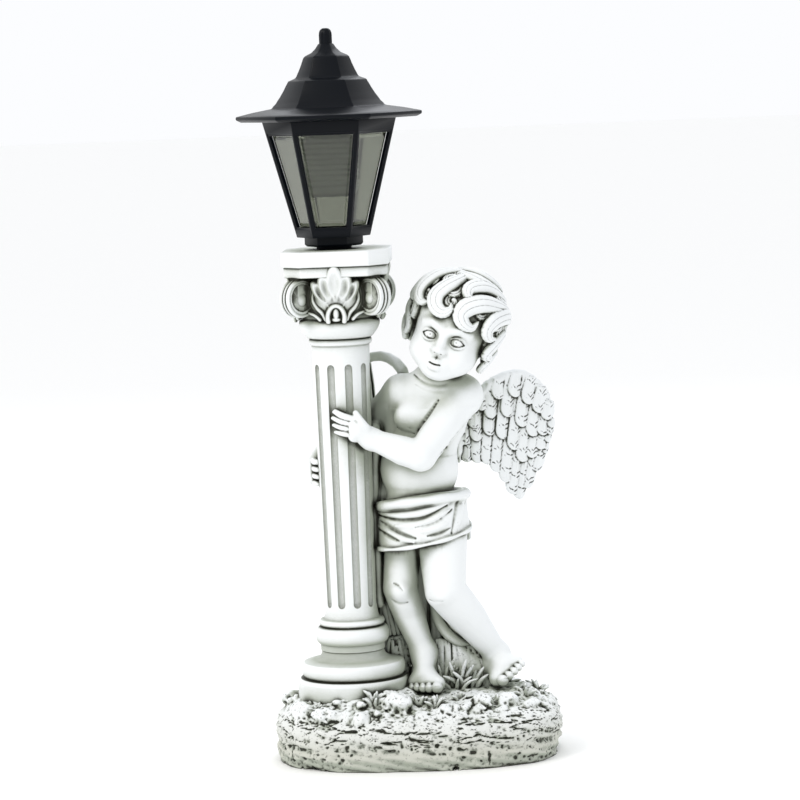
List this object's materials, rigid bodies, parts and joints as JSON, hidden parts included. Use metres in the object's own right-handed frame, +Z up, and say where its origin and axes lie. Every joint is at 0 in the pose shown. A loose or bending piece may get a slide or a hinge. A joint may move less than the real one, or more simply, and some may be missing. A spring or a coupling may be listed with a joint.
{
  "type": "angel garden statue",
  "caption": "Resin garden statue of a winged child angel leaning on a fluted column that carries a black hexagonal lantern, on a rock base.",
  "frame": {"origin": "on the ground under the middle of the oval rock base", "axes": "+Z up along the column, the figure's front faces -Y, the column stands towards -X"},
  "size_m": [0.2097, 0.1325, 0.5],
  "materials": {
    "resin": "matt, with a dark antique wash",
    "black_plastic": "satin",
    "clear_plastic": "clear, slightly smoky",
    "lens_plastic": "clear, ribbed"
  },
  "bodies": {
    "root": {"statue": "resin", "lantern_cage": "black_plastic", "pane_1": "clear_plastic", "pane_2": "clear_plastic", "pane_3": "clear_plastic", "pane_4": "clear_plastic", "pane_5": "clear_plastic", "pane_6": "clear_plastic", "lens": "lens_plastic", "roof": "black_plastic", "finial": "black_plastic"}
  },
  "joints": []
}
